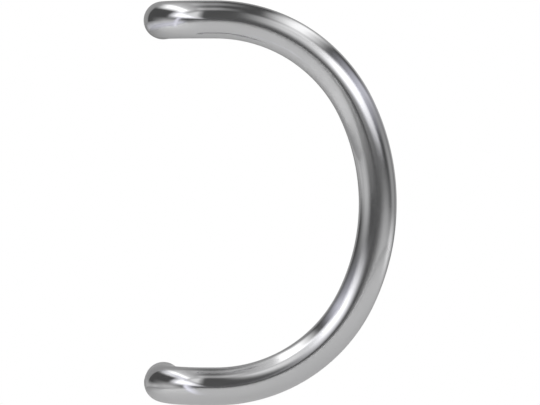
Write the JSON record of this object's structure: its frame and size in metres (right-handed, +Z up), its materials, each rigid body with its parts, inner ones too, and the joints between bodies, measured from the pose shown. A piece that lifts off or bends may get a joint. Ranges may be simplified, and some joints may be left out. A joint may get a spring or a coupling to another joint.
{
  "type": "door pull handle",
  "caption": "C-shaped bow pull handle bent from round polished steel tube, with tapped inserts in its leg ends for bolting to a door.",
  "frame": {"origin": "on the door's face, midway between the two fixing holes", "axes": "+Z up along the line of the fixing holes, +Y into the door, +X the way the bow swings out"},
  "size_m": [0.2011, 0.068, 0.32],
  "materials": {
    "polished_steel": "mirror-polished stainless steel tube",
    "turned_steel": "turned stainless steel, fine tool marks"
  },
  "bodies": {
    "root": {"bar": "polished_steel", "upper_insert": "turned_steel", "lower_insert": "turned_steel"}
  },
  "joints": []
}
